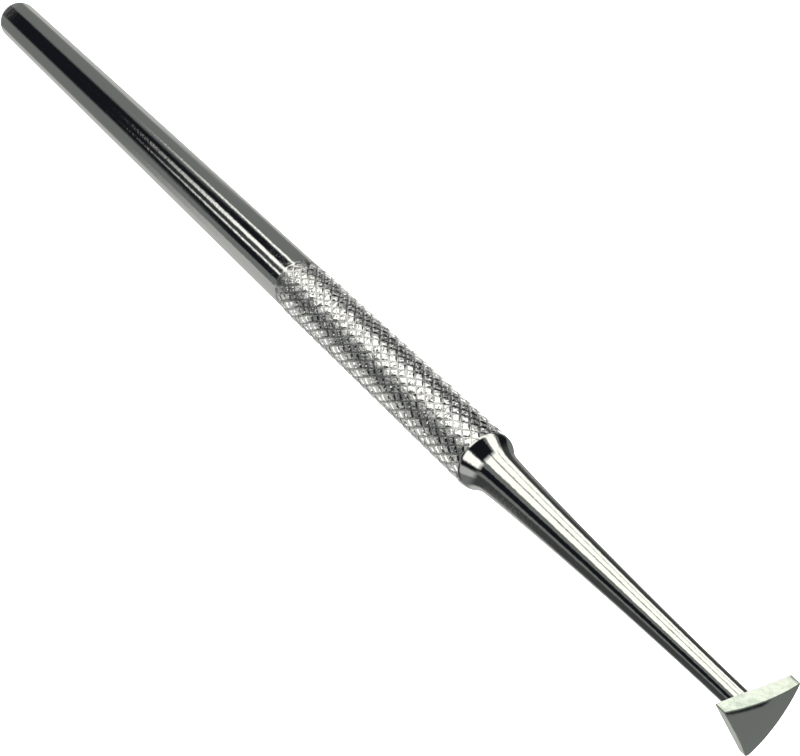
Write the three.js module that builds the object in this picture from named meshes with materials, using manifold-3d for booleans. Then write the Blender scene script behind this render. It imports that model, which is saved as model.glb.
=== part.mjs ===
// Steel spudger with a small triangular head. A polished round handle carries a diamond-knurled grip,
// a tapered shank is pressed into its nose, and a flat-sided head is brazed square on the shank's tip.
//
// Millimetres. +X runs along the tool from the butt to the head, +Z is normal to the head's upper side,
// and the origin is the centre of the flat on the butt.

import * as THREE from "three";
import { mergeVertices } from "three/addons/utils/BufferGeometryUtils.js";
import Module from "manifold-3d";

const wasm = await Module();
wasm.setup();

const DEGREE = Math.PI / 180;

// Facets around every turned piece. A multiple of four keeps the four outermost lines on the axes.
const FACETS = 48;

// Clearance left between faces that seat on each other.
const SEAT_GAP = 0.03;

// Handle: one bar, turned to a slow taper, knurled near the front and rounded at both ends.
const BUTT_RADIUS = 2.8;
const BUTT_ROUNDING = 1.4;
const BARREL_FRONT_RADIUS = 3.08;
const KNURL_START = 88.4;
const KNURL_RUN_IN = 0.8;
const KNURL_END = 127.0;
const KNURL_RADIUS = 3.24;
const NOSE_START = 127.24;
const NOSE_RADIUS = 3.165;
const NOSE_ROUNDING = 1.2;
const NOSE_SWEEP = 31 * DEGREE;

// Shank: a tang held in the handle, a hollow flare that leaves the nose, and a long trumpet taper.
const TANG_RADIUS = 1.5;
const TANG_LENGTH = 12.0;
const BORE_SPARE_DEPTH = 0.8;
const FLARE_RADIUS = 4.8;
const FLARE_END_SLOPE = 7.5 * DEGREE;
const SHANK_TIP_RADIUS = 1.1;
const SHANK_BASE_PULL = 2.2;
const SHANK_TIP_PULL = 14.2;
const SPIGOT_RADIUS = 0.7;
const SPIGOT_LENGTH = 0.75;

// Head: an equilateral plate across the tool's axis, one side up and one corner down. The lower corner is
// blunter than the other two.
const HEAD_BACK = 167.5;
const HEAD_CIRCUMRADIUS = 4.7;
const HEAD_CORNER_ROUNDINGS = [0.3, 0.12, 0.12];
const HEAD_THICKNESS = 1.65;
const DOME_RADIUS = 19.0;
const DOME_RAISE = 1.4;

// Braze: the hollow fillet of filler metal between the shank's tip and the head's back face.
const BRAZE_LEG = 0.45;

// Where the shank's shoulder seats on the handle's nose, worked out from the nose rounding.
const NOSE_CENTRE_RADIUS = NOSE_RADIUS - NOSE_ROUNDING;
const SHOULDER_RADIUS = NOSE_CENTRE_RADIUS + NOSE_ROUNDING * Math.cos(NOSE_SWEEP);
const SHOULDER = NOSE_START + NOSE_ROUNDING * Math.sin(NOSE_SWEEP);

const polishedSteel = { color: 0xb9bcb8, metalness: 1.0, roughness: 0.12 };
const groundSteel = { color: 0xaeb0ab, metalness: 1.0, roughness: 0.3 };
const brazeMetal = { color: 0xc9c3a4, metalness: 1.0, roughness: 0.38 };

// A point of a turned outline: distance from the axis, then distance along it.
function at(radius, station) {
  return new THREE.Vector2(radius, station);
}

// Points of a circular arc in a turned outline, its angles measured from the outward direction.
function arc(centre, radius, from, to, steps) {
  const clockwise = to < from;
  return new THREE.EllipseCurve(centre.x, centre.y, radius, radius, from, to, clockwise).getPoints(steps);
}

// A round body along +X.
function turned(outline) {
  const geometry = new THREE.LatheGeometry(outline, FACETS);
  geometry.rotateZ(-90 * DEGREE);
  return geometry;
}

function makeMesh(name, geometry, finish) {
  const mesh = new THREE.Mesh(geometry, new THREE.MeshStandardMaterial(finish));
  mesh.name = name;
  return mesh;
}

// A closed geometry as a solid that can be joined and cut.
function solidFrom(geometry) {
  const bare = geometry.clone();
  bare.deleteAttribute("normal");
  bare.deleteAttribute("uv");
  const merged = mergeVertices(bare, 1e-4);
  const vertProperties = new Float32Array(merged.attributes.position.array);
  const triVerts = new Uint32Array(merged.index.array);
  return new wasm.Manifold(new wasm.Mesh({ numProp: 3, vertProperties, triVerts }));
}

function geometryFrom(solid) {
  const mesh = solid.getMesh();
  const geometry = new THREE.BufferGeometry();
  geometry.setAttribute("position", new THREE.BufferAttribute(mesh.vertProperties, 3));
  geometry.setIndex(new THREE.BufferAttribute(mesh.triVerts, 1));
  geometry.computeVertexNormals();
  return geometry;
}

// The bar: butt, barrel, knurled band at its outside diameter, rounded nose, and the bore for the tang.
function makeHandle() {
  const buttCentre = at(BUTT_RADIUS - BUTT_ROUNDING, BUTT_ROUNDING);
  const noseCentre = at(NOSE_CENTRE_RADIUS, NOSE_START);
  const boreRadius = TANG_RADIUS + SEAT_GAP;
  const boreFloor = SHOULDER - TANG_LENGTH - BORE_SPARE_DEPTH;
  const outline = [
    at(0, 0),
    ...arc(buttCentre, BUTT_ROUNDING, -90 * DEGREE, 0, 8),
    at(BARREL_FRONT_RADIUS, KNURL_START),
    at(KNURL_RADIUS, KNURL_START + KNURL_RUN_IN),
    at(KNURL_RADIUS, KNURL_END),
    ...arc(noseCentre, NOSE_ROUNDING, 0, NOSE_SWEEP, 6),
    at(boreRadius, SHOULDER),
    at(boreRadius, boreFloor),
    at(0, boreFloor),
  ];
  return makeMesh("handle", turned(outline), polishedSteel);
}

// The shank, measured from the shoulder that seats on the nose: tang behind it, flare and taper ahead.
function makeShank() {
  const tip = HEAD_BACK - SHOULDER - SEAT_GAP;
  const flareCentre = at(
    SHOULDER_RADIUS + FLARE_RADIUS * Math.cos(NOSE_SWEEP),
    SEAT_GAP + FLARE_RADIUS * Math.sin(NOSE_SWEEP),
  );
  const flareStart = 180 * DEGREE + NOSE_SWEEP;
  const flareEnd = 180 * DEGREE + FLARE_END_SLOPE;
  const flare = arc(flareCentre, FLARE_RADIUS, flareStart, flareEnd, 6);
  const taperStart = flare[flare.length - 1];
  const taper = new THREE.CubicBezierCurve(
    taperStart,
    at(taperStart.x - SHANK_BASE_PULL * Math.tan(FLARE_END_SLOPE), taperStart.y + SHANK_BASE_PULL),
    at(SHANK_TIP_RADIUS, tip - SHANK_TIP_PULL),
    at(SHANK_TIP_RADIUS, tip),
  );
  const outline = [
    at(0, -TANG_LENGTH),
    at(TANG_RADIUS, -TANG_LENGTH),
    at(TANG_RADIUS, SEAT_GAP),
    ...flare,
    ...taper.getPoints(12).slice(1),
    at(SPIGOT_RADIUS, tip),
    at(SPIGOT_RADIUS, tip + SPIGOT_LENGTH),
    at(0, tip + SPIGOT_LENGTH),
  ];
  return makeMesh("shank", turned(outline), polishedSteel);
}

// An equilateral outline with its bluntest corner along -Y. Three small flats make each corner.
function headOutline() {
  const points = [];
  HEAD_CORNER_ROUNDINGS.forEach((rounding, corner) => {
    const direction = (120 * corner - 90) * DEGREE;
    const centre = HEAD_CIRCUMRADIUS - 2 * rounding;
    for (const turn of [-60, -20, 20, 60]) {
      const around = direction + turn * DEGREE;
      points.push(new THREE.Vector2(
        centre * Math.cos(direction) + rounding * Math.cos(around),
        centre * Math.sin(direction) + rounding * Math.sin(around),
      ));
    }
  });
  return new THREE.Shape(points);
}

// A solid under a shallow dome, from the head's back face forward.
function domeSolid() {
  const capRadius = HEAD_CIRCUMRADIUS + DOME_RAISE + 0.5;
  const capAngle = Math.asin(capRadius / DOME_RADIUS);
  const domeCentre = at(0, HEAD_THICKNESS - DOME_RADIUS);
  const front = arc(domeCentre, DOME_RADIUS, 90 * DEGREE - capAngle, 90 * DEGREE, 10);
  const outline = [at(0, 0), at(capRadius, 0), ...front];
  const geometry = turned(outline);
  geometry.translate(0, 0, DOME_RAISE);
  return solidFrom(geometry);
}

// The head: flat sides, flat back with a blind hole for the spigot, and a domed front.
function makeHead() {
  const plate = new THREE.ExtrudeGeometry(headOutline(), { depth: HEAD_THICKNESS, bevelEnabled: false });
  plate.rotateX(90 * DEGREE);
  plate.rotateZ(90 * DEGREE);
  const holeDepth = SPIGOT_LENGTH + SEAT_GAP;
  const holeRadius = SPIGOT_RADIUS + SEAT_GAP;
  const hole = new THREE.CylinderGeometry(holeRadius, holeRadius, 2 * holeDepth, FACETS / 2);
  hole.rotateZ(90 * DEGREE);
  const solid = solidFrom(plate).intersect(domeSolid()).subtract(solidFrom(hole));
  return makeMesh("head", geometryFrom(solid), groundSteel);
}

// A ring with a hollow face, measured from the head's back face.
function makeBraze() {
  const inner = SHANK_TIP_RADIUS + 2 * SEAT_GAP;
  const hollowCentre = at(inner + BRAZE_LEG, -SEAT_GAP - BRAZE_LEG);
  const outline = [
    at(inner, -SEAT_GAP),
    ...arc(hollowCentre, BRAZE_LEG, 180 * DEGREE, 90 * DEGREE, 5),
    at(inner, -SEAT_GAP),
  ];
  return makeMesh("braze_fillet", turned(outline), brazeMetal);
}

const handle = makeHandle();

const shank = makeShank();
shank.position.x = SHOULDER;

const head = makeHead();
head.position.x = HEAD_BACK;

const braze = makeBraze();
braze.position.x = HEAD_BACK;

const tool = new THREE.Group();
tool.add(handle, shank, head, braze);

export default tool;
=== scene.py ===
"""A polished steel spudger: knurled round handle, trumpet shank and a small triangular head.

The tool lies along +X with the centre of its butt at the origin. The head's upper side faces +Z.
Lengths are in millimetres until a mesh is made, and metres after that.
"""

import math

import bpy
from mathutils import Matrix, Vector


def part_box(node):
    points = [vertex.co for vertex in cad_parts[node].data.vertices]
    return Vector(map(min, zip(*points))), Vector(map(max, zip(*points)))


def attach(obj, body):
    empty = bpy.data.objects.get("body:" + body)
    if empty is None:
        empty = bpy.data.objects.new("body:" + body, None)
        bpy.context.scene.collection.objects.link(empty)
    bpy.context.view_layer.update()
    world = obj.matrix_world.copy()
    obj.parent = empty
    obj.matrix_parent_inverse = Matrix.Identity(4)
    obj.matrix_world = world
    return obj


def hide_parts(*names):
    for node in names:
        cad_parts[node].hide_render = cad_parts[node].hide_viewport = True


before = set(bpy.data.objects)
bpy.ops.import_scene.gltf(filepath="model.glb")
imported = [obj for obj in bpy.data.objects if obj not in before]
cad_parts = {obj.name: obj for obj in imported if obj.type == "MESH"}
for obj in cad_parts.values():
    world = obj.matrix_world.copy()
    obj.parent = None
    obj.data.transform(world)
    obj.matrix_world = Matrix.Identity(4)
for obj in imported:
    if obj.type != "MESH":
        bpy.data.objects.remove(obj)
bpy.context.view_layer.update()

MM = 0.001
DEGREE = math.pi / 180

# Where the pieces are, read from the frame.
HANDLE_HIGH = Vector(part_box("handle")[1]) / MM
HEAD_LOW = Vector(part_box("head")[0]) / MM
SHOULDER = HANDLE_HIGH.x
HEAD_BACK = HEAD_LOW.x
KNURL_RADIUS = HANDLE_HIGH.z

# Handle.
BUTT_RADIUS = 2.8
BUTT_ROUNDING = 1.4
BARREL_FRONT_RADIUS = 3.08
KNURL_START = 88.4
NOSE_RADIUS = 3.165
NOSE_ROUNDING = 1.2
NOSE_SWEEP = 31 * DEGREE
NOSE_START = SHOULDER - NOSE_ROUNDING * math.sin(NOSE_SWEEP)
NOSE_CENTRE_RADIUS = NOSE_RADIUS - NOSE_ROUNDING
SHOULDER_RADIUS = NOSE_CENTRE_RADIUS + NOSE_ROUNDING * math.cos(NOSE_SWEEP)
BORE_RADIUS = 1.53
BORE_DEPTH = 12.8

# The steps at the knurl's two ends, where the bar drops to the knurl's root and comes up again at the nose.
BARREL_LIP = 0.05
ROOT_START = 0.15
ROOT_END = 0.14
NOSE_LIP = 0.04
NOSE_LIP_DROP = 0.012

# Knurl: two families of rolled V grooves that leave staggered rows of diamonds with slightly crowned lands.
# Each diamond's foot is sunk below the root, its relief is how far its land stands above the root, and the
# land is a share of its width. The crown is how much the land falls away along the bar and round it.
KNURL_TEETH = 19
KNURL_ROWS = 44
KNURL_ROW_STEP = 0.879
KNURL_FIRST_ROW = 0.45
KNURL_DEPTH = 0.18
KNURL_RELIEF = 0.16
KNURL_FOOT = 0.04
KNURL_LAND = 0.56
KNURL_CROWN = (-0.2, -0.45, 0.0)
KNURL_RUN_IN = 2.0
KNURL_FIRST_BITE = 0.3
KNURL_WEAR = 0.08
KNURL_TILT = 2.2 * DEGREE
KNURL_SEED = 7

# Shank.
TANG_RADIUS = 1.5
TANG_LENGTH = 12.0
SEAT_GAP = 0.03
FLARE_RADIUS = 4.8
FLARE_END_SLOPE = 7.5 * DEGREE
SHANK_TIP_RADIUS = 1.1
SHANK_BASE_PULL = 2.2
SHANK_TIP_PULL = 14.2
SPIGOT_RADIUS = 0.7
SPIGOT_LENGTH = 0.75

# Head.
HEAD_CIRCUMRADIUS = 4.7
HEAD_CORNER_ROUNDINGS = (0.32, 0.13, 0.13)
HEAD_THICKNESS = 1.65
DOME_RADIUS = 19.0
DOME_RAISE = 1.4
HEAD_EDGE_BEVEL = 0.1
HEAD_EDGE_DROP = 0.05
HEAD_BACK_BEVEL = 0.04

# Braze fillet.
BRAZE_LEG = 0.45

FACETS = 128

# Studio and camera.
STUDIO_STRENGTH = 1.5
FLOOR_GLOW = 1.6
FLOOR_REACH = 2500.0
CAMERA_PLACE = (251.57, -89.06, 102.26)
CAMERA_RIGHT = (0.5045, 0.8615, 0.056)
CAMERA_AHEAD = (-0.7206, 0.4560, -0.522)
CAMERA_LENS = 85.05


def linear(hex_colour):
    """A linear RGBA colour from an sRGB hex string."""
    channels = [int(hex_colour[i:i + 2], 16) / 255 for i in (1, 3, 5)]
    return [c / 12.92 if c <= 0.04045 else ((c + 0.055) / 1.055) ** 2.4 for c in channels] + [1.0]


def add_node(tree, kind, inputs=None, **settings):
    """Adds a node, sets its properties, and fills its inputs.

    An input is given as a value, an output, or a whole node, which stands for its first output.
    """
    node = tree.nodes.new(kind)
    for name, value in settings.items():
        setattr(node, name, value)
    for key, value in (inputs or {}).items():
        if isinstance(value, bpy.types.Node):
            value = value.outputs[0]
        if isinstance(value, bpy.types.NodeSocket):
            tree.links.new(value, node.inputs[key])
        else:
            node.inputs[key].default_value = value
    return node


# ---------------------------------------------------------------------------------------------------
# Shapes
# ---------------------------------------------------------------------------------------------------


def arc(centre_radius, centre_station, radius, start, end, steps):
    """Points of a circular arc in a turned outline, its angles measured from the outward direction."""
    angles = [start + (end - start) * i / steps for i in range(steps + 1)]
    return [(centre_radius + radius * math.cos(a), centre_station + radius * math.sin(a)) for a in angles]


def bezier(start, start_pull, end_pull, end, steps):
    """Points of a cubic curve between two points of a turned outline, without its first point."""
    points = []
    for i in range(1, steps + 1):
        t = i / steps
        weights = ((1 - t) ** 3, 3 * (1 - t) ** 2 * t, 3 * (1 - t) * t * t, t ** 3)
        corners = (start, start_pull, end_pull, end)
        points.append(tuple(sum(w * p[axis] for w, p in zip(weights, corners)) for axis in (0, 1)))
    return points


def new_piece(name, vertices, faces, material, slot):
    """A mesh object in metres that rides on the tool's one body."""
    mesh = bpy.data.meshes.new(name)
    mesh.from_pydata([[c * MM for c in v] for v in vertices], [], faces)
    mesh.validate()
    mesh.materials.append(material)
    piece = bpy.data.objects.new(name, mesh)
    bpy.context.collection.objects.link(piece)
    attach(piece, "root")
    return piece


def smooth_by_angle(piece, angle):
    """Smooth shading that stays sharp across edges steeper than the angle."""
    piece.data.shade_smooth()
    piece.data.set_sharp_from_angle(angle=angle)


def turned_mesh(outline, station):
    """Vertices and faces of a round body about the X axis.

    The outline starts and ends on the axis, or is a loop.
    """
    closed_loop = outline[0] == outline[-1]
    rings = outline[:-1] if closed_loop else outline[1:-1]
    vertices = []
    for radius, along in rings:
        for i in range(FACETS):
            turn = 2 * math.pi * i / FACETS
            vertices.append((station + along, radius * math.cos(turn), radius * math.sin(turn)))
    faces = []
    last = len(rings) if closed_loop else len(rings) - 1
    for ring in range(last):
        here = ring * FACETS
        ahead = (ring + 1) % len(rings) * FACETS
        for i in range(FACETS):
            j = (i + 1) % FACETS
            faces.append((here + i, here + j, ahead + j, ahead + i))
    if not closed_loop:
        for end, first in ((outline[0], 0), (outline[-1], (len(rings) - 1) * FACETS)):
            pole = len(vertices)
            vertices.append((station + end[1], 0.0, 0.0))
            for i in range(FACETS):
                j = (i + 1) % FACETS
                rim = (first + j, first + i) if first == 0 else (first + i, first + j)
                faces.append((pole, *rim))
    return vertices, faces


def make_handle(material):
    """The bar: rounded butt, slow taper, the knurl's root, the rounded nose and the bore for the tang."""
    root = KNURL_RADIUS - KNURL_DEPTH
    steps = 12
    barrel = [
        (
            BUTT_RADIUS + (BARREL_FRONT_RADIUS - BUTT_RADIUS) * i / steps,
            BUTT_ROUNDING + (KNURL_START - BUTT_ROUNDING) * i / steps,
        )
        for i in range(1, steps + 1)
    ]
    outline = [
        (0.0, 0.0),
        *arc(BUTT_RADIUS - BUTT_ROUNDING, BUTT_ROUNDING, BUTT_ROUNDING, -90 * DEGREE, 0, 16),
        *barrel,
        (BARREL_FRONT_RADIUS, KNURL_START + BARREL_LIP),
        (root, KNURL_START + ROOT_START),
        (root, NOSE_START - ROOT_END),
        (NOSE_RADIUS - NOSE_LIP_DROP, NOSE_START - NOSE_LIP),
        *arc(NOSE_CENTRE_RADIUS, NOSE_START, NOSE_ROUNDING, 0, NOSE_SWEEP, 16),
        (BORE_RADIUS, SHOULDER),
        (BORE_RADIUS, SHOULDER - BORE_DEPTH),
        (0.0, SHOULDER - BORE_DEPTH),
    ]
    piece = new_piece("handle_bar", *turned_mesh(outline, 0.0), material, "polished_bar")
    smooth_by_angle(piece, 30 * DEGREE)
    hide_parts("handle")


def make_shank(material):
    """Tang, shoulder, hollow flare, trumpet taper and spigot, all turned in one piece."""
    tip = HEAD_BACK - SHOULDER - SEAT_GAP
    flare = arc(
        SHOULDER_RADIUS + FLARE_RADIUS * math.cos(NOSE_SWEEP),
        FLARE_RADIUS * math.sin(NOSE_SWEEP),
        FLARE_RADIUS,
        math.pi + NOSE_SWEEP,
        math.pi + FLARE_END_SLOPE,
        12,
    )
    base_radius, base = flare[-1]
    taper = bezier(
        (base_radius, base),
        (base_radius - SHANK_BASE_PULL * math.tan(FLARE_END_SLOPE), base + SHANK_BASE_PULL),
        (SHANK_TIP_RADIUS, tip - SHANK_TIP_PULL),
        (SHANK_TIP_RADIUS, tip),
        36,
    )
    outline = [
        (0.0, -TANG_LENGTH),
        (TANG_RADIUS, -TANG_LENGTH),
        (TANG_RADIUS, 0.0),
        *flare,
        *taper,
        (SPIGOT_RADIUS, tip),
        (SPIGOT_RADIUS, tip + SPIGOT_LENGTH),
        (0.0, tip + SPIGOT_LENGTH),
    ]
    piece = new_piece("shank_taper", *turned_mesh(outline, SHOULDER), material, "polished_shank")
    smooth_by_angle(piece, 30 * DEGREE)
    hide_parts("shank")


def make_braze(material):
    """The hollow ring of filler metal in the corner between the shank's tip and the head's back."""
    inner = SHANK_TIP_RADIUS
    fillet = arc(inner + BRAZE_LEG, -BRAZE_LEG, BRAZE_LEG, math.pi, math.pi / 2, 10)
    outline = [*fillet, (inner, 0.0), fillet[0]]
    piece = new_piece("braze_ring", *turned_mesh(outline, HEAD_BACK), material, "silver_braze")
    smooth_by_angle(piece, 40 * DEGREE)
    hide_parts("braze_fillet")


def triangle_loop(shrink, side_steps=20, corner_steps=4):
    """Points round an equilateral outline with one corner down and round corners, drawn in by shrink."""
    corners = []
    for corner, full_rounding in enumerate(HEAD_CORNER_ROUNDINGS):
        direction = (120 * corner - 90) * DEGREE
        rounding = max(0.0, full_rounding - shrink)
        centre_distance = HEAD_CIRCUMRADIUS - 2 * max(shrink, full_rounding)
        centre = Vector((math.cos(direction), math.sin(direction))) * centre_distance
        turns = [direction + (2 * i / corner_steps - 1) * 60 * DEGREE for i in range(corner_steps + 1)]
        corners.append([centre + Vector((math.cos(t), math.sin(t))) * rounding for t in turns])
    loop = []
    for corner in range(3):
        loop.extend(corners[corner])
        start = corners[corner][-1]
        end = corners[(corner + 1) % 3][0]
        loop.extend(start.lerp(end, i / side_steps) for i in range(1, side_steps))
    return loop


def dome_height(point):
    """How far the head's front stands off its back face at a point across the head."""
    off_axis = point.x ** 2 + (point.y - DOME_RAISE) ** 2
    return HEAD_THICKNESS - DOME_RADIUS + math.sqrt(DOME_RADIUS ** 2 - off_axis)


def make_head(flank, face):
    """Flat sides, flat back, a domed front and narrow bevels along every edge."""
    rings = []
    for shrink, rise in ((HEAD_BACK_BEVEL, 0.0), (0.0, HEAD_BACK_BEVEL)):
        rings.append([(rise, p.x, p.y) for p in triangle_loop(shrink)])
    rings.append([(dome_height(p) - HEAD_EDGE_DROP, p.x, p.y) for p in triangle_loop(0.0)])
    bevelled = triangle_loop(HEAD_EDGE_BEVEL)
    rings.append([(dome_height(p), p.x, p.y) for p in bevelled])
    for scale in (0.88, 0.74, 0.58, 0.4, 0.2):
        rings.append([(dome_height(p * scale), p.x * scale, p.y * scale) for p in bevelled])
    count = len(bevelled)
    vertices = [(HEAD_BACK + x, y, z) for ring in rings for x, y, z in ring]
    faces = []
    for ring in range(len(rings) - 1):
        for i in range(count):
            j = (i + 1) % count
            low = ring * count
            faces.append((low + i, low + j, low + count + j, low + count + i))
    back_pole = len(vertices)
    vertices.append((HEAD_BACK, 0.0, 0.0))
    front_pole = len(vertices)
    vertices.append((HEAD_BACK + dome_height(Vector((0.0, 0.0))), 0.0, 0.0))
    last = (len(rings) - 1) * count
    for i in range(count):
        j = (i + 1) % count
        faces.append((back_pole, j, i))
        faces.append((front_pole, last + i, last + j))
    piece = new_piece("triangular_head", vertices, faces, flank, "ground_head")
    piece.data.materials.append(face)
    first_front_ring = 3
    front_start = first_front_ring * count
    for polygon in piece.data.polygons:
        if min(polygon.vertices) >= front_start and back_pole not in polygon.vertices:
            polygon.material_index = 1
    smooth_by_angle(piece, 20 * DEGREE)
    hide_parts("head")


def knurl_tree():
    """A node tree that wraps a lattice of truncated diamonds round the X axis."""
    tree = bpy.data.node_groups.new("diamond knurl", "GeometryNodeTree")
    for name in ("Start", "Row Step", "Root Radius", "Depth", "Foot", "Land", "Run In", "Wear", "Tilt"):
        tree.interface.new_socket(name=name, in_out="INPUT", socket_type="NodeSocketFloat")
    for name in ("Rows", "Teeth", "Seed"):
        tree.interface.new_socket(name=name, in_out="INPUT", socket_type="NodeSocketInt")
    tree.interface.new_socket(name="Material", in_out="INPUT", socket_type="NodeSocketMaterial")
    tree.interface.new_socket(name="Geometry", in_out="OUTPUT", socket_type="NodeSocketGeometry")
    given = add_node(tree, "NodeGroupInput").outputs

    # A flat lattice of rows by teeth, laid along X with its Y as an angle.
    gaps = add_node(tree, "ShaderNodeMath", {0: given["Rows"], 1: 1.0}, operation="SUBTRACT")
    length = add_node(tree, "ShaderNodeMath", {0: gaps, 1: given["Row Step"]}, operation="MULTIPLY")
    tooth_angle = add_node(tree, "ShaderNodeMath", {0: 2 * math.pi, 1: given["Teeth"]}, operation="DIVIDE")
    sweep = add_node(tree, "ShaderNodeMath", {0: 2 * math.pi, 1: tooth_angle}, operation="SUBTRACT")
    lattice = add_node(tree, "GeometryNodeMeshGrid", {
        "Size X": length,
        "Size Y": sweep,
        "Vertices X": given["Rows"],
        "Vertices Y": given["Teeth"],
    })

    # Wrapped round the axis with a twist of half a tooth a row, so that every second row is staggered.
    flat = add_node(tree, "ShaderNodeSeparateXYZ", {0: add_node(tree, "GeometryNodeInputPosition")}).outputs
    half_tooth = add_node(tree, "ShaderNodeMath", {0: tooth_angle, 1: 0.5}, operation="MULTIPLY")
    twist = add_node(tree, "ShaderNodeMath", {0: half_tooth, 1: given["Row Step"]}, operation="DIVIDE")
    turn = add_node(tree, "ShaderNodeMath", {0: flat[0], 1: twist, 2: flat[1]}, operation="MULTIPLY_ADD")
    cosine = add_node(tree, "ShaderNodeMath", {0: turn}, operation="COSINE")
    sine = add_node(tree, "ShaderNodeMath", {0: turn}, operation="SINE")
    foot_radius = add_node(tree, "ShaderNodeMath", {
        0: given["Root Radius"],
        1: given["Foot"],
    }, operation="SUBTRACT")
    middle = add_node(tree, "ShaderNodeMath", {
        0: length,
        1: 0.5,
        2: given["Start"],
    }, operation="MULTIPLY_ADD")
    wrapped = add_node(tree, "ShaderNodeCombineXYZ", {
        0: add_node(tree, "ShaderNodeMath", {0: flat[0], 1: middle}, operation="ADD"),
        1: add_node(tree, "ShaderNodeMath", {0: cosine, 1: foot_radius}, operation="MULTIPLY"),
        2: add_node(tree, "ShaderNodeMath", {0: sine, 1: foot_radius}, operation="MULTIPLY"),
    })
    round_bar = add_node(tree, "GeometryNodeSetPosition", {"Geometry": lattice, "Position": wrapped})

    # One diamond a unit high: its foot touches its neighbours, and its land is crowned like the bar.
    cone = add_node(tree, "GeometryNodeMeshCone", {
        "Vertices": 4,
        "Radius Top": given["Land"],
        "Radius Bottom": 1.0,
        "Depth": 1.0,
    }, fill_type="TRIANGLE_FAN")
    place = add_node(tree, "GeometryNodeInputPosition")
    squared = add_node(tree, "ShaderNodeVectorMath", {0: place, 1: place}, operation="MULTIPLY")
    crown = add_node(tree, "ShaderNodeVectorMath", {0: squared, 1: KNURL_CROWN}, operation="DOT_PRODUCT")
    drop = add_node(tree, "ShaderNodeCombineXYZ", {2: crown.outputs["Value"]})
    height = add_node(tree, "ShaderNodeSeparateXYZ", {0: place}).outputs[2]
    on_land = add_node(tree, "ShaderNodeMath", {0: height, 1: 0.9}, operation="GREATER_THAN")
    crowned = add_node(tree, "GeometryNodeSetPosition", {
        "Geometry": cone,
        "Selection": on_land,
        "Offset": drop,
    })
    half_width = add_node(tree, "ShaderNodeMath", {
        0: half_tooth,
        1: given["Root Radius"],
    }, operation="MULTIPLY")
    full_depth = add_node(tree, "ShaderNodeMath", {0: given["Depth"], 1: given["Foot"]}, operation="ADD")
    size = add_node(tree, "ShaderNodeCombineXYZ", {0: given["Row Step"], 1: half_width, 2: full_depth})
    diamond = add_node(tree, "GeometryNodeTransform", {"Geometry": crowned, "Scale": size})

    # The rollers bite gradually, and each tooth comes up a little differently.
    here = add_node(tree, "ShaderNodeSeparateXYZ", {0: add_node(tree, "GeometryNodeInputPosition")}).outputs
    bitten = add_node(tree, "ShaderNodeMath", {0: given["Start"], 1: given["Run In"]}, operation="ADD")
    bite = add_node(tree, "ShaderNodeMapRange", {
        "Value": here[0],
        "From Min": given["Start"],
        "From Max": bitten,
        "To Min": KNURL_FIRST_BITE,
    })
    least = add_node(tree, "ShaderNodeMath", {0: 1.0, 1: given["Wear"]}, operation="SUBTRACT")
    uneven = add_node(tree, "FunctionNodeRandomValue", {
        2: least,
        3: 1.0,
        "Seed": given["Seed"],
    }, data_type="FLOAT")
    tall = add_node(tree, "ShaderNodeMath", {0: bite, 1: uneven.outputs[1]}, operation="MULTIPLY")
    bearing = add_node(tree, "ShaderNodeMath", {0: here[2], 1: here[1]}, operation="ARCTAN2")
    lean = add_node(tree, "ShaderNodeMath", {0: bearing, 1: math.pi / 2}, operation="SUBTRACT")
    wobble = add_node(tree, "FunctionNodeRandomValue", {
        0: (-1.0, -1.0, -1.0),
        1: (1.0, 1.0, 1.0),
        "Seed": given["Seed"],
    }, data_type="FLOAT_VECTOR")
    swing = add_node(tree, "ShaderNodeVectorMath", {0: wobble, "Scale": given["Tilt"]}, operation="SCALE")
    upright = add_node(tree, "ShaderNodeCombineXYZ", {0: lean})
    teeth = add_node(tree, "GeometryNodeInstanceOnPoints", {
        "Points": round_bar,
        "Instance": diamond,
        "Rotation": add_node(tree, "ShaderNodeVectorMath", {0: upright, 1: swing}, operation="ADD"),
        "Scale": add_node(tree, "ShaderNodeCombineXYZ", {0: 1.0, 1: 1.0, 2: tall}),
    })
    solid = add_node(tree, "GeometryNodeRealizeInstances", {"Geometry": teeth})
    finished = add_node(tree, "GeometryNodeSetMaterial", {"Geometry": solid, "Material": given["Material"]})
    add_node(tree, "NodeGroupOutput", {"Geometry": finished})
    return tree


def make_knurl(material):
    """The grip's diamonds, grown on the handle's root by the knurl tree and then made a plain mesh."""
    tree = knurl_tree()
    seedling = bpy.data.objects.new("knurl_seed", bpy.data.meshes.new("knurl_seed"))
    bpy.context.collection.objects.link(seedling)
    modifier = seedling.modifiers.new("diamond knurl", "NODES")
    modifier.node_group = tree
    sizes = {
        "Start": (KNURL_START + KNURL_FIRST_ROW) * MM,
        "Row Step": KNURL_ROW_STEP * MM,
        "Root Radius": (KNURL_RADIUS - KNURL_DEPTH) * MM,
        "Depth": KNURL_RELIEF * MM,
        "Foot": KNURL_FOOT * MM,
        "Land": KNURL_LAND,
        "Run In": KNURL_RUN_IN * MM,
        "Wear": KNURL_WEAR,
        "Tilt": KNURL_TILT,
        "Rows": KNURL_ROWS,
        "Teeth": KNURL_TEETH,
        "Seed": KNURL_SEED,
        "Material": material,
    }
    for item in tree.interface.items_tree:
        if item.in_out == "INPUT":
            modifier[item.identifier] = sizes[item.name]
    evaluated = seedling.evaluated_get(bpy.context.evaluated_depsgraph_get())
    mesh = bpy.data.meshes.new_from_object(evaluated)
    seedling.modifiers.remove(modifier)
    bpy.data.objects.remove(seedling)
    mesh.name = "grip_knurl"
    piece = bpy.data.objects.new("grip_knurl", mesh)
    bpy.context.collection.objects.link(piece)
    smooth_by_angle(piece, 25 * DEGREE)
    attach(piece, "root")


# ---------------------------------------------------------------------------------------------------
# Finishes
# ---------------------------------------------------------------------------------------------------


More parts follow.
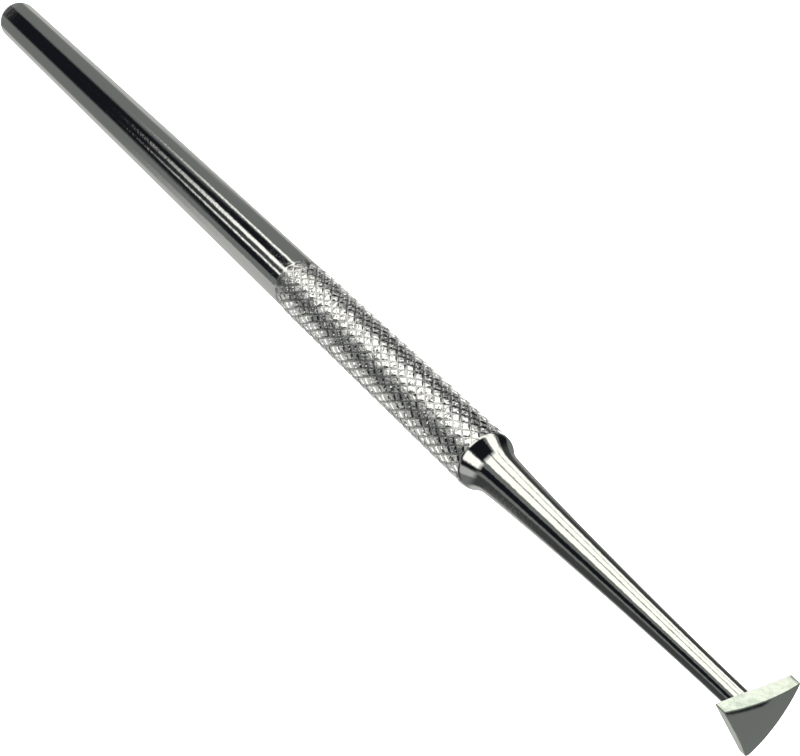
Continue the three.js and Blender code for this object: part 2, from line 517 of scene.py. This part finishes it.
def new_metal(name, colour, roughness):
    """A metal with its shader, and the object's own coordinates for its patterns."""
    material = bpy.data.materials.new(name)
    material.use_nodes = True
    tree = material.node_tree
    tree.nodes.clear()
    place = add_node(tree, "ShaderNodeTexCoord").outputs["Object"]
    shader = add_node(tree, "ShaderNodeBsdfPrincipled", {
        "Base Color": linear(colour),
        "Metallic": 1.0,
        "Roughness": roughness,
    })
    add_node(tree, "ShaderNodeOutputMaterial", {"Surface": shader.outputs[0]})
    return material, tree, place, shader


def per_mm(size):
    """The texture scale that makes a feature about this many millimetres across."""
    return 1 / (size * MM)


def polished_bar_steel():
    # Bright-drawn stainless bar, belt polished: a mirror with slow ripples and a fine grain that frets the
    # edges of what it reflects. The grain is drawn a little coarser than the real one so that it shows.
    material, tree, place, shader = new_metal("polished stainless bar", "#D4D4D2", 0.05)
    drawn_out = add_node(tree, "ShaderNodeMapping", {"Vector": place, "Scale": (0.4, 1.0, 1.0)})
    grain = add_node(tree, "ShaderNodeTexNoise", {"Vector": drawn_out, "Scale": per_mm(0.2), "Detail": 2.0})
    ripples = add_node(tree, "ShaderNodeTexNoise", {"Vector": place, "Scale": per_mm(2.6), "Detail": 2.0})
    sheen = add_node(tree, "ShaderNodeMapRange", {"Value": ripples, "To Min": 0.02, "To Max": 0.06})
    tree.links.new(sheen.outputs[0], shader.inputs["Roughness"])
    rippled = add_node(tree, "ShaderNodeBump", {"Height": ripples.outputs[0], "Distance": 0.008 * MM})
    grained = add_node(tree, "ShaderNodeBump", {
        "Height": grain,
        "Distance": 0.006 * MM,
        "Normal": rippled,
    })
    tree.links.new(grained.outputs[0], shader.inputs["Normal"])
    return material


def rolled_knurl_steel():
    # The same bar after rolling: bright lands dimpled by the rollers and duller groove floors. Painted
    # shade:
    # the base colour darkens down into the grooves, with a random worn tone on top.
    material, tree, place, shader = new_metal("rolled knurl stainless", "#E8E8E6", 0.2)
    across = add_node(tree, "ShaderNodeVectorMath", {0: place, 1: (0.0, 1.0, 1.0)}, operation="MULTIPLY")
    radius = add_node(tree, "ShaderNodeVectorMath", {0: across}, operation="LENGTH")
    depth = add_node(tree, "ShaderNodeMapRange", {
        "Value": radius.outputs["Value"],
        "From Min": (KNURL_RADIUS - KNURL_DEPTH) * MM,
        "From Max": KNURL_RADIUS * MM,
    })
    grain = add_node(tree, "ShaderNodeTexNoise", {"Vector": place, "Scale": per_mm(0.42), "Detail": 2.0})
    worn = add_node(tree, "ShaderNodeMath", {0: grain, 1: 0.5, 2: -0.25}, operation="MULTIPLY_ADD")
    level = add_node(tree, "ShaderNodeMath", {0: depth, 1: worn}, operation="ADD")
    # Painted shade: the base colour runs from pale on the lands to dark grey on the groove floors, standing
    # in for shade in the grooves; the noise adds a random worn tone.
    tone = add_node(tree, "ShaderNodeValToRGB", {"Fac": level})
    tone.color_ramp.elements[0].color = linear("#8A8886")
    tone.color_ramp.elements[1].position = 0.5
    tone.color_ramp.elements[1].color = linear("#FAFAF8")
    tree.links.new(tone.outputs[0], shader.inputs["Base Color"])
    polish = add_node(tree, "ShaderNodeMapRange", {"Value": level, "To Min": 0.2, "To Max": 0.05})
    tree.links.new(polish.outputs[0], shader.inputs["Roughness"])
    dimpled = add_node(tree, "ShaderNodeBump", {"Height": grain, "Distance": 0.075 * MM})
    tree.links.new(dimpled.outputs[0], shader.inputs["Normal"])
    return material


def turned_shank_steel():
    # Stainless turned on a lathe and then buffed along its length: a mirror whose fine lines run down the
    # taper and fret the edges of what it reflects.
    material, tree, place, shader = new_metal("polished turned shank", "#D6D7D3", 0.05)
    drawn_out = add_node(tree, "ShaderNodeMapping", {"Vector": place, "Scale": (0.5, 1.0, 1.0)})
    lines = add_node(tree, "ShaderNodeTexNoise", {"Vector": drawn_out, "Scale": per_mm(0.2), "Detail": 2.0})
    ripples = add_node(tree, "ShaderNodeTexNoise", {"Vector": place, "Scale": per_mm(3.0), "Detail": 2.0})
    sheen = add_node(tree, "ShaderNodeMapRange", {"Value": lines, "To Min": 0.02, "To Max": 0.05})
    tree.links.new(sheen.outputs[0], shader.inputs["Roughness"])
    rippled = add_node(tree, "ShaderNodeBump", {"Height": ripples.outputs[0], "Distance": 0.008 * MM})
    lined = add_node(tree, "ShaderNodeBump", {
        "Height": lines,
        "Distance": 0.006 * MM,
        "Normal": rippled,
    })
    tree.links.new(lined.outputs[0], shader.inputs["Normal"])
    return material


def ground_flank_steel():
    # Hardened steel off a fine cup wheel: nearly white in the light, with cloudy patches and the small dents
    # of the grit.
    material, tree, place, shader = new_metal("ground steel flank", "#DDE3D8", 0.24)
    clouds = add_node(tree, "ShaderNodeTexNoise", {"Vector": place, "Scale": per_mm(0.9), "Detail": 4.0})
    tone = add_node(tree, "ShaderNodeValToRGB", {"Fac": clouds})
    tone.color_ramp.elements[0].position = 0.36
    tone.color_ramp.elements[0].color = linear("#C3CEC2")
    tone.color_ramp.elements[1].position = 0.56
    tone.color_ramp.elements[1].color = linear("#E0E6D9")
    tree.links.new(tone.outputs[0], shader.inputs["Base Color"])
    grit = add_node(tree, "ShaderNodeTexNoise", {"Vector": place, "Scale": per_mm(0.22), "Detail": 3.0})
    ground = add_node(tree, "ShaderNodeBump", {"Height": grit, "Distance": 0.012 * MM})
    tree.links.new(ground.outputs[0], shader.inputs["Normal"])
    return material


def polished_face_steel():
    # The head's domed front, dressed on a soft wheel: smooth, with a faint haze.
    material, tree, place, shader = new_metal("polished steel face", "#D2D3CF", 0.05)
    haze = add_node(tree, "ShaderNodeTexNoise", {"Vector": place, "Scale": per_mm(0.6), "Detail": 4.0})
    sheen = add_node(tree, "ShaderNodeMapRange", {"Value": haze, "To Min": 0.03, "To Max": 0.07})
    tree.links.new(sheen.outputs[0], shader.inputs["Roughness"])
    hazed = add_node(tree, "ShaderNodeBump", {"Height": haze, "Distance": 0.002 * MM})
    tree.links.new(hazed.outputs[0], shader.inputs["Normal"])
    return material


def silver_braze():
    # Silver brazing alloy as it froze: slightly yellow, satin, with soft lumps.
    material, tree, place, shader = new_metal("silver braze", "#D8D1B4", 0.34)
    lumps = add_node(tree, "ShaderNodeTexNoise", {"Vector": place, "Scale": per_mm(0.5), "Detail": 2.0})
    sheen = add_node(tree, "ShaderNodeMapRange", {"Value": lumps, "To Min": 0.26, "To Max": 0.42})
    tree.links.new(sheen.outputs[0], shader.inputs["Roughness"])
    frozen = add_node(tree, "ShaderNodeBump", {"Height": lumps.outputs[0], "Distance": 0.02 * MM})
    tree.links.new(frozen.outputs[0], shader.inputs["Normal"])
    return material


# ---------------------------------------------------------------------------------------------------
# Studio
# ---------------------------------------------------------------------------------------------------

# The studio's six tones.
WHITE = "#FFFFFA"
PALE = "#D4D6D2"
SILVER = "#A6A6A4"
GREY = "#686B69"
DARK = "#3A3B3C"
BLACK = "#14151A"

# The studio as the steel sees it: a silver wall behind the butt, then zones along the tool, each a plain
# backdrop with a few panels hung round the tool's axis. A zone is (start, end, edge, backdrop, panels). It
# takes over from the one before it between start and end along the axis, where -1 is behind the butt and +1
# is ahead of the head, and its panels' edges fade over that many degrees. A panel is (first bearing, last
# bearing, tone). Bearing 0 is +Y, 90 is straight up and 270 straight down.
BEHIND_BARREL = (-0.93, -0.9, 12, GREY, [(0, 15, SILVER), (100, 168, BLACK), (250, 360, SILVER)])
STRIP_LIGHTS = (-0.84, -0.8, 3, GREY, [
    (76, 81, WHITE), (90, 113, BLACK), (119, 129, WHITE), (135, 145, DARK), (150, 153, WHITE),
    (160, 180, BLACK), (210, 360, SILVER),
])
OVER_GRIP = (-0.775, -0.755, 8, SILVER, [(20, 55, DARK), (80, 128, WHITE), (160, 190, GREY)])
OVER_SHANK = (-0.68, -0.6, 3, GREY, [
    (5, 35, DARK), (42, 60, WHITE), (66, 92, WHITE), (101, 131, WHITE), (156, 181, BLACK), (200, 255, DARK),
    (265, 305, SILVER),
])
OVER_NOSE = (-0.46, -0.25, 3, GREY, [
    (5, 35, BLACK), (48, 74, WHITE), (85, 138, BLACK), (145, 173, WHITE), (180, 190, BLACK),
    (197, 220, SILVER),
])
AHEAD_OF_FACE = (0.34, 0.48, 10, GREY, [(60, 120, PALE)])

# The last zone's panels hang by height instead, where 0 is straight down, 180 is level and 360 straight up:
# past the end of the table there is a dark room, with a pale panel overhead.
DARK_ROOM = (0.53, 0.58, 3, GREY, [(72, 175, BLACK), (250, 330, PALE)])


def hang_panels(tree, place, edge, backdrop, panels):
    """A colour ramp of soft-edged panels before a plain backdrop."""
    stops = [(0, backdrop), (360, backdrop)]
    for first, last, tone in panels:
        stops += [(first - edge, backdrop), (first, tone), (last, tone), (last + edge, backdrop)]
    ramp = add_node(tree, "ShaderNodeValToRGB", {"Fac": place})
    elements = ramp.color_ramp.elements
    for end in (0, 360):
        tones = [tone for bearing, tone in stops if bearing == end]
        elements[end // 360].color = linear(tones[-1])
    for bearing, tone in stops:
        if 0 < bearing < 360:
            elements.new(bearing / 360).color = linear(tone)
    return ramp.outputs[0]


def make_studio():
    """The surroundings that the steel mirrors."""
    world = bpy.data.worlds.new("studio")
    bpy.context.scene.world = world
    world.use_nodes = True
    tree = world.node_tree
    tree.nodes.clear()
    direction = add_node(tree, "ShaderNodeTexCoord").outputs["Generated"]
    axes = add_node(tree, "ShaderNodeSeparateXYZ", {0: direction}).outputs
    angle = add_node(tree, "ShaderNodeMath", {0: axes[2], 1: axes[1]}, operation="ARCTAN2")
    turn = add_node(tree, "ShaderNodeMath", {0: angle, 1: 2 * math.pi}, operation="DIVIDE")
    bearing = add_node(tree, "ShaderNodeMath", {0: turn, 1: 1.0}, operation="FLOORED_MODULO")
    height = add_node(tree, "ShaderNodeMath", {0: axes[2], 1: 0.5, 2: 0.5}, operation="MULTIPLY_ADD")
    round_zones = (BEHIND_BARREL, STRIP_LIGHTS, OVER_GRIP, OVER_SHANK, OVER_NOSE, AHEAD_OF_FACE)
    seen = linear(SILVER)
    zones = [(bearing, zone) for zone in round_zones] + [(height, DARK_ROOM)]
    for place, (start, end, edge, backdrop, panels) in zones:
        share = add_node(tree, "ShaderNodeMapRange", {"Value": axes[0], "From Min": start, "From Max": end})
        zone = hang_panels(tree, place, edge, backdrop, panels)
        seen = add_node(tree, "ShaderNodeMixRGB", {0: share, 1: seen, 2: zone}).outputs[0]
    background = add_node(tree, "ShaderNodeBackground", {"Color": seen, "Strength": STUDIO_STRENGTH})
    add_node(tree, "ShaderNodeOutputWorld", {"Surface": background.outputs[0]})


def plain_white(name, glow):
    """Matt white paint that a light behind the sheet lifts to a clean white."""
    material = bpy.data.materials.new(name)
    material.use_nodes = True
    shader = material.node_tree.nodes["Principled BSDF"]
    shader.inputs["Base Color"].default_value = linear("#F2F2F0")
    shader.inputs["Roughness"].default_value = 0.9
    shader.inputs["Specular IOR Level"].default_value = 0.0
    shader.inputs["Emission Color"].default_value = linear("#FFFFFF")
    shader.inputs["Emission Strength"].default_value = glow
    return material


def make_floor():
    """A white light table that the butt and the head's lower corner both touch.

    The steel doesn't mirror it.
    """
    butt_low = -BUTT_RADIUS
    corner_low = HEAD_LOW.z
    slope = (corner_low - butt_low) / (HEAD_BACK - BUTT_ROUNDING)

    def height(x):
        return butt_low + slope * (x - BUTT_ROUNDING)

    corners = [(-1, -1), (1, -1), (1, 1), (-1, 1)]
    places = [(x * FLOOR_REACH, y * FLOOR_REACH) for x, y in corners]
    vertices = [(x * MM, y * MM, height(x) * MM) for x, y in places]
    mesh = bpy.data.meshes.new("light_table")
    mesh.from_pydata(vertices, [], [(0, 1, 2, 3)])
    mesh.materials.append(plain_white("white light table", FLOOR_GLOW))
    floor = bpy.data.objects.new("light_table", mesh)
    bpy.context.collection.objects.link(floor)
    floor.visible_glossy = False


def make_lights():
    """One large overhead softbox, which lights the tool but isn't mirrored in it."""
    light = bpy.data.lights.new("overhead softbox", "AREA")
    light.shape = "RECTANGLE"
    light.size = 0.5
    light.size_y = 0.5
    light.energy = 4.0
    softbox = bpy.data.objects.new("overhead softbox", light)
    softbox.location = (0.25, 0.15, 0.9)
    softbox.visible_glossy = False
    bpy.context.collection.objects.link(softbox)


def make_camera():
    """The camera stands ahead of the head and above it, and looks back along the tool."""
    camera = bpy.data.objects.new("camera", bpy.data.cameras.new("camera"))
    camera.data.lens = CAMERA_LENS
    camera.data.sensor_width = 36.0
    camera.data.clip_start = 0.01
    right = Vector(CAMERA_RIGHT).normalized()
    ahead = Vector(CAMERA_AHEAD)
    ahead = (ahead - right * ahead.dot(right)).normalized()
    up = right.cross(ahead)
    turn = Matrix((right, up, -ahead)).transposed().to_4x4()
    camera.matrix_world = Matrix.Translation(Vector(CAMERA_PLACE) * MM) @ turn
    bpy.context.collection.objects.link(camera)
    bpy.context.scene.camera = camera


make_camera()
make_studio()
make_lights()
make_floor()
make_handle(polished_bar_steel())
make_knurl(rolled_knurl_steel())
make_shank(turned_shank_steel())
make_head(ground_flank_steel(), polished_face_steel())
make_braze(silver_braze())

bpy.context.scene.view_settings.view_transform = "Standard"
